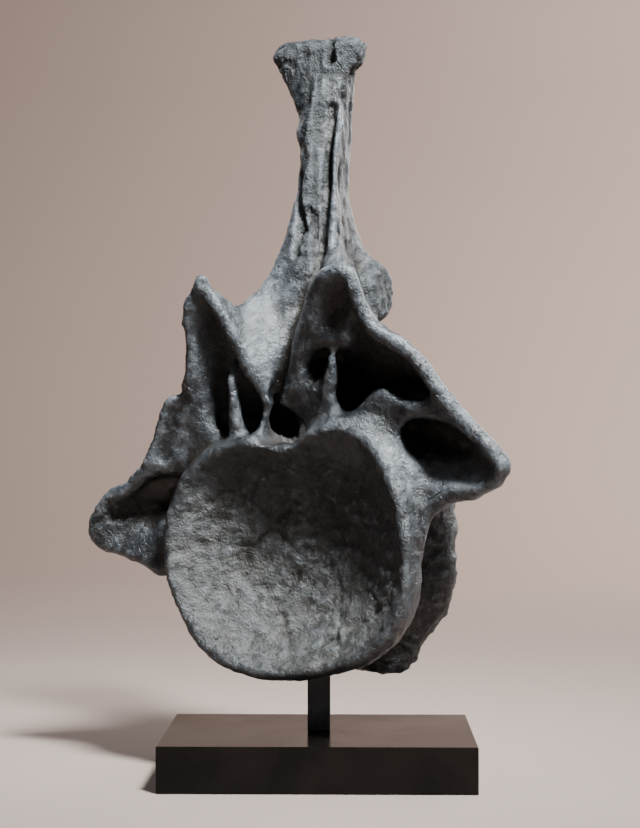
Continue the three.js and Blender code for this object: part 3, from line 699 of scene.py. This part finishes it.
    def carvings(self) -> list[Carving]:
        """The roughness of the bone, from the broadest to the finest.

        Returns:
            Every carving, each over its own region.
        """
        return [
            Carving(Relief.LUMPS, 1.6, 46.0, seed=3.0),
            Carving(Relief.LUMPS, 0.9, 19.0, seed=11.0),
            Carving(Relief.GRAIN, 0.8, 9.0, seed=23.0),
            Carving(Relief.PITS, 0.9, 26.0, seed=5.0),
            Carving(Relief.LUMPS, 2.2, 42.0, self.dish, seed=31.0),
            Carving(Relief.GRAIN, 1.5, 12.0, self.dish, seed=37.0),
            Carving(Relief.CRACKS, 1.8, 52.0, self.dish, seed=41.0),
            Carving(Relief.PITS, 2.2, 24.0, self.dish, (1.5, 1.0, 0.8), 42.0),
            Carving(Relief.LUMPS, 1.2, 30.0, self.front_rim, seed=43.0),
            Carving(Relief.GRAIN, 0.9, 11.0, self.front_rim, seed=47.0),
            Carving(Relief.LUMPS, 2.6, 24.0, self.rear_rim, seed=51.0),
            Carving(Relief.CRESTS, 1.8, 17.0, self.rear_rim, (1.0, 3.0, 1.0), 53.0),
            Carving(Relief.GRAIN, 1.6, 12.0, self.rear_rim, seed=59.0),
            Carving(Relief.GRAIN, 1.0, 16.0, self.rear_face, seed=61.0),
            Carving(Relief.PLAIN, 4.0, region=self.ridge_side.mask),
            Carving(Relief.PLAIN, -6.0, region=self.groove.mask),
            Carving(Relief.PLAIN, 3.0, region=self.groove_lip.mask),
            Carving(Relief.PLAIN, -5.0, region=self.left_groove.mask),
            Carving(Relief.PLAIN, -7.0, region=self.cleft.mask),
            Carving(Relief.PLAIN, -2.5, region=self.broken_block.mask),
            Carving(Relief.PLAIN, -6.0, region=self.pocket_floor.mask),
            Carving(Relief.PLAIN, 2.6, region=self.web_edge.mask),
            Carving(Relief.PLAIN, -5.5, region=self.web_hollow.mask),
            Carving(Relief.CRESTS, 1.4, 13.0, self.ridge.mask, (1.0, 1.0, 3.2), 67.0),
            Carving(Relief.GRAIN, 2.0, 14.0, self.ridge.mask, (1.0, 1.0, 1.8), 71.0),
            Carving(Relief.CRACKS, 5.0, 13.0, self.broken_block.mask, (0.8, 1.0, 1.5), 73.0),
            Carving(Relief.GRAIN, 2.2, 13.0, self.rough_tips, seed=79.0),
            Carving(Relief.PITS, 2.0, 16.0, self.rough_tips, seed=83.0),
            Carving(Relief.CRACKS, 2.2, 34.0, self.spine_top.mask, (1.0, 1.0, 0.8), 85.0),
            Carving(Relief.CRESTS, 1.3, 10.0, self.spine_side.mask, (1.0, 1.0, 4.0), 89.0),
            *[Carving(Relief.GRAIN, 2.2, 9.0, facet.mask, seed=97.0) for facet in self.rear_facets],
        ]

    def guides(self) -> dict[str, tuple[tuple[Region, float], ...]]:
        """Where the bone is warm, pale or coarse, and where a painted sheen (bleached) or painted shade
        (hollow) lies on it.

        Returns:
            Regions and their strengths under the name of each mark. The strongest one counts.
        """
        return {
            "warm": ((self.rear_rim, 1.0), (self.rear_face, 0.55), (self.spine_side.mask, 0.5)),
            # Low in the dish: sandy tone and painted light, fading upwards; a trace on the front rim
            "pale": ((self.dish_sand_and_light, 0.75), (self.front_rim, 0.10)),
            # Painted sheen on the medial sheets and both webs
            "painted_sheen": ((self.medial_sheets.mask, 0.8), (self.right_web.mask, 1.0),
                         (self.left_web.mask, 0.8)),
            "coarse": ((self.rough_tips, 1.0), (self.ridge.mask, 0.6), (self.facets, 1.0),
                       (self.rear_rim, 0.8), (self.dish, 0.5)),
            # Painted shade, strongest inside the front tent; the rear facets, ridge and spine top are
            # darkened more weakly
            "painted_shade": ((self.tent_painted_shade.mask, 1.0), (self.facets, 0.4), (self.ridge.mask, 0.22),
                       (self.spine_top.mask, 0.15)),
        }

    def remeshed(self, solid: bpy.types.Object) -> bpy.types.Mesh:
        """An even, fine mesh of the solid's shape.

        Args:
            solid: The solid, which stays as it is.

        Returns:
            A new mesh of even quads.
        """
        form = bmesh.new()
        form.from_mesh(solid.data)
        bmesh.ops.remove_doubles(form, verts=form.verts, dist=self.merge_distance)
        merged = bpy.data.meshes.new("bone form")
        form.to_mesh(merged)
        form.free()
        helper = bpy.data.objects.new("bone form", merged)
        bpy.context.scene.collection.objects.link(helper)
        even = helper.modifiers.new("even", "REMESH")
        even.mode = "VOXEL"
        even.voxel_size = self.voxel
        mesh = bpy.data.meshes.new_from_object(
            helper.evaluated_get(bpy.context.evaluated_depsgraph_get())
        )
        bpy.data.objects.remove(helper)
        bpy.data.meshes.remove(merged)
        return mesh

    @staticmethod
    def places(mesh: bpy.types.Mesh) -> np.ndarray:
        """The mesh's vertices, one in each row."""
        rows = np.zeros(len(mesh.vertices) * 3, np.float32)
        mesh.vertices.foreach_get("co", rows)
        return rows.reshape(-1, 3).astype(float)

    @staticmethod
    def edges(mesh: bpy.types.Mesh) -> np.ndarray:
        """The mesh's edges, as pairs of vertex numbers."""
        rows = np.zeros(len(mesh.edges) * 2, np.int32)
        mesh.edges.foreach_get("vertices", rows)
        return rows.reshape(-1, 2)

    @staticmethod
    def pulled(values: np.ndarray, edges: np.ndarray, shares: Iterable[float]) -> np.ndarray:
        """Moves each row towards the mean of its neighbours, again and again.

        Args:
            values: One row for each vertex.
            edges: Pairs of neighbours.
            shares: How far it moves each time, negative to move away.

        Returns:
            The moved rows.
        """
        first, second = edges.T
        count = len(values)
        degree = np.bincount(edges.ravel(), minlength=count)[:, None].clip(1)
        out = values.copy()
        for share in shares:
            total = np.stack([
                np.bincount(first, out[second, k], count) + np.bincount(second, out[first, k], count)
                for k in range(out.shape[1])
            ], axis=1)
            out += share * (total / degree - out)
        return out

    @staticmethod
    def normals(mesh: bpy.types.Mesh) -> np.ndarray:
        """The outward direction at each vertex, one in each row."""
        rows = np.zeros(len(mesh.vertices) * 3, np.float32)
        mesh.vertex_normals.foreach_get("vector", rows)
        return rows.reshape(-1, 3).astype(float)

    @staticmethod
    def move(mesh: bpy.types.Mesh, places: np.ndarray) -> None:
        """Puts the mesh's vertices at new places."""
        mesh.vertices.foreach_set("co", places.astype(np.float32).ravel())
        mesh.update()

    @staticmethod
    def mark(mesh: bpy.types.Mesh, name: str, values: np.ndarray) -> None:
        """Keeps one number at each vertex, for the material."""
        layer = mesh.attributes.new(name, "FLOAT", "POINT")
        layer.data.foreach_set("value", values.astype(np.float32))

    def carve(self, mesh: bpy.types.Mesh) -> None:
        """Evens the facets out of the mesh and carves its roughness.

        Args:
            mesh: The fine mesh, changed in place.
        """
        edges = self.edges(mesh)
        pulls = list(self.smoothing_pulls) * self.smoothing_rounds + [self.last_pull]
        self.move(mesh, self.pulled(self.places(mesh), edges, pulls))
        places = self.places(mesh)
        own = bone_frame(places)
        heights = np.zeros(len(own))
        for carving in self.carvings():
            heights += carving.heights(own)
        self.move(mesh, places + self.normals(mesh) * heights[:, None] * MM)

    def colour_guides(self, mesh: bpy.types.Mesh) -> None:
        """Marks crests, folds and the warm, pale and coarse regions for the finish, and where a painted sheen
        (bleached) and painted shade (hollow) lie.

        Args:
            mesh: The carved mesh, which gains seven attributes.
        """
        places, edges, normals = self.places(mesh), self.edges(mesh), self.normals(mesh)
        own = bone_frame(places)
        near = self.pulled(places, edges, [self.near_pull] * self.near_rounds)
        far = self.pulled(near, edges, [self.far_pull] * self.far_rounds)
        crest = np.tanh(np.einsum("ij,ij->i", places - near, normals) / MM / self.crest_height)
        fold = np.tanh(np.einsum("ij,ij->i", near - far, normals) / MM / self.fold_height)
        # The crest measure drives painted highlights on crests and painted shade in creases; it is weakened
        # on the front rim
        self.mark(mesh, "crest", 0.5 + 0.5 * crest * (1.0 - self.rim_crest_loss * self.front_rim(own)))
        self.mark(mesh, "fold", 0.5 + 0.5 * fold)
        for name, regions in self.guides().items():
            self.mark(mesh, name, np.max([strength * region(own) for region, strength in regions], axis=0))

    def build(self, nodes: dict[str, bpy.types.Object]) -> bpy.types.Object:
        """Builds the bone over its solid.

        Args:
            nodes: The solids by name.

        Returns:
            The finished bone.
        """
        mesh = self.remeshed(nodes["vertebra"])
        self.carve(mesh)
        self.colour_guides(mesh)
        mesh.name = "bone"
        mesh.materials.clear()
        mesh.materials.append(self.finish.material())
        mesh.polygons.foreach_set("use_smooth", [True] * len(mesh.polygons))
        bone = bpy.data.objects.new("bone", mesh)
        bpy.context.scene.collection.objects.link(bone)
        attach(bone, ROOT)
        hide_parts("vertebra")
        log.info("bone: %d faces", len(mesh.polygons))
        return bone


@dataclass
class Stand:
    """The block and the square post that hold the bone."""

    block_edge: float = 0.0012
    post_edge: float = 0.0010
    edge_segments: int = 3
    block_finish: BronzedFinish = BronzedFinish()
    post_finish: BlackenedFinish = BlackenedFinish()

    def bar(self, name: str, node: str, edge: float, finish: bpy.types.Material) -> bpy.types.Object:
        """A square bar with eased edges in the place of a solid.

        Args:
            name: The piece's name.
            node: The solid that it stands for.
            edge: How wide its eased edges are.
            finish: Its material.

        Returns:
            The finished piece.
        """
        low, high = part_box(node)
        form = bmesh.new()
        bmesh.ops.create_cube(form, size=1.0)
        bmesh.ops.scale(form, vec=high - low, verts=form.verts)
        bmesh.ops.translate(form, vec=(low + high) / 2.0, verts=form.verts)
        bmesh.ops.bevel(
            form, geom=form.edges[:], offset=edge, offset_type="OFFSET", affect="EDGES",
            segments=self.edge_segments, profile=0.5, material=-1,
        )
        mesh = bpy.data.meshes.new(name)
        form.to_mesh(mesh)
        form.free()
        mesh.materials.append(finish)
        piece = bpy.data.objects.new(name, mesh)
        bpy.context.scene.collection.objects.link(piece)
        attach(piece, ROOT)
        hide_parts(node)
        log.info("%s: %d faces", name, len(mesh.polygons))
        return piece

    def build(self) -> None:
        """Builds the block and the post."""
        self.bar("block", "stand_base", self.block_edge, self.block_finish.material())
        self.bar("post", "stand_post", self.post_edge, self.post_finish.material())


@dataclass(frozen=True)
class Lamp:
    """One soft square lamp, which points at the bone unless it has another target."""

    name: str
    place: Point
    side: float
    watts: float
    colour: Colour = (1.0, 1.0, 1.0)
    spread: float = 180.0
    target: Point = (0.0, 0.0, 0.42)

    def build(self) -> None:
        """Hangs the lamp."""
        light = bpy.data.lights.new(self.name, "AREA")
        light.size = self.side
        light.energy = self.watts
        light.color = self.colour
        light.spread = math.radians(self.spread)
        lamp = bpy.data.objects.new(self.name, light)
        lamp.location = self.place
        lamp.rotation_euler = (Vector(self.target) - lamp.location).to_track_quat("-Z", "Y").to_euler()
        bpy.context.scene.collection.objects.link(lamp)


@dataclass
class Studio:
    """A pale seamless bowl, soft lamps and the camera."""

    floor_radius: float = 3.0
    wall_radius: float = 1.6
    wall_height: float = 2.6
    floor_steps: int = 4
    bend_steps: int = 8
    sides: int = 72
    camera_place: Point = (0.040, -2.123, 0.376)
    camera_turn: Point = (90.69, 0.0, 1.05)
    lens: float = 82.74
    sensor: float = 36.0
    sight: float = 50.0
    world_colour: Colour = (0.80, 0.76, 0.74)
    world_strength: float = 0.012
    lamps: tuple[Lamp, ...] = (
        Lamp("key", (0.77, -1.34, 2.36), 0.44, 44.0, (0.92, 0.98, 1.0), 58.0),
        Lamp("fill", (1.5, -1.9, 0.95), 0.9, 2.0, (0.88, 0.95, 1.0), 60.0),
        Lamp("sky", (-1.4, -0.35, 2.3), 0.8, 1.4, (0.84, 0.92, 1.0), 70.0),
        Lamp("edge", (-1.3, 1.7, 1.7), 0.9, 2.0, (0.90, 0.95, 1.0), 70.0),
        Lamp("back", (1.6, 1.9, 1.3), 1.2, 7.0, (1.0, 1.0, 1.0), 70.0),
        Lamp("wall left", (-1.6, 1.9, 2.9), 1.0, 8.0, (1.0, 0.96, 0.93), 140.0, (-0.8, 3.8, 0.4)),
        Lamp("wall right", (1.6, 1.9, 2.9), 1.0, 220.0, (1.0, 0.96, 0.93), 140.0, (1.0, 3.8, 0.4)),
    )

    def floor(self) -> None:
        """Builds the floor and its round wall in one seamless bowl."""
        form = bmesh.new()
        steps = range(self.floor_steps + 1)
        profile = [Vector((self.floor_radius * i / self.floor_steps, 0.0, 0.0)) for i in steps]
        for i in range(1, self.bend_steps + 1):
            turn = math.radians(90.0) * i / self.bend_steps
            profile.append(Vector((
                self.floor_radius + self.wall_radius * math.sin(turn), 0.0,
                self.wall_radius * (1.0 - math.cos(turn)),
            )))
        profile.append(profile[-1] + Vector((0.0, 0.0, self.wall_height)))
        verts = [form.verts.new(place) for place in profile]
        edges = [form.edges.new(pair) for pair in zip(verts[:-1], verts[1:])]
        bmesh.ops.spin(
            form, geom=verts + edges, cent=(0, 0, 0), axis=(0, 0, 1), angle=math.tau, steps=self.sides,
            use_merge=True,
        )
        bmesh.ops.remove_doubles(form, verts=form.verts, dist=1e-5)
        bmesh.ops.recalc_face_normals(form, faces=form.faces)
        mesh = bpy.data.meshes.new("floor")
        form.to_mesh(mesh)
        form.free()
        mesh.materials.append(PaperFinish().material())
        mesh.polygons.foreach_set("use_smooth", [True] * len(mesh.polygons))
        floor = bpy.data.objects.new("floor", mesh)
        bpy.context.scene.collection.objects.link(floor)

    def air(self) -> None:
        """Sets the even light from above."""
        world = bpy.data.worlds.new("air")
        world.use_nodes = True
        background = world.node_tree.nodes["Background"]
        background.inputs["Color"].default_value = (*self.world_colour, 1.0)
        background.inputs["Strength"].default_value = self.world_strength
        bpy.context.scene.world = world

    def camera(self) -> None:
        """Places the camera at the photograph's angle."""
        data = bpy.data.cameras.new("camera")
        data.lens = self.lens
        data.sensor_width = self.sensor
        data.clip_end = self.sight
        camera = bpy.data.objects.new("camera", data)
        camera.location = self.camera_place
        camera.rotation_euler = [math.radians(turn) for turn in self.camera_turn]
        bpy.context.scene.collection.objects.link(camera)
        bpy.context.scene.camera = camera

    def build(self) -> None:
        """Builds the studio."""
        self.floor()
        self.air()
        for lamp in self.lamps:
            lamp.build()
        self.camera()
        log.info("studio: %d lamps", len(self.lamps))


def main() -> None:
    """Builds the bone, its stand and the studio."""
    logging.basicConfig(level=logging.INFO, format="%(name)s %(message)s")
    Vertebra().build(frame["nodes"])
    Stand().build()
    Studio().build()


if __name__ == "__main__":
    main()
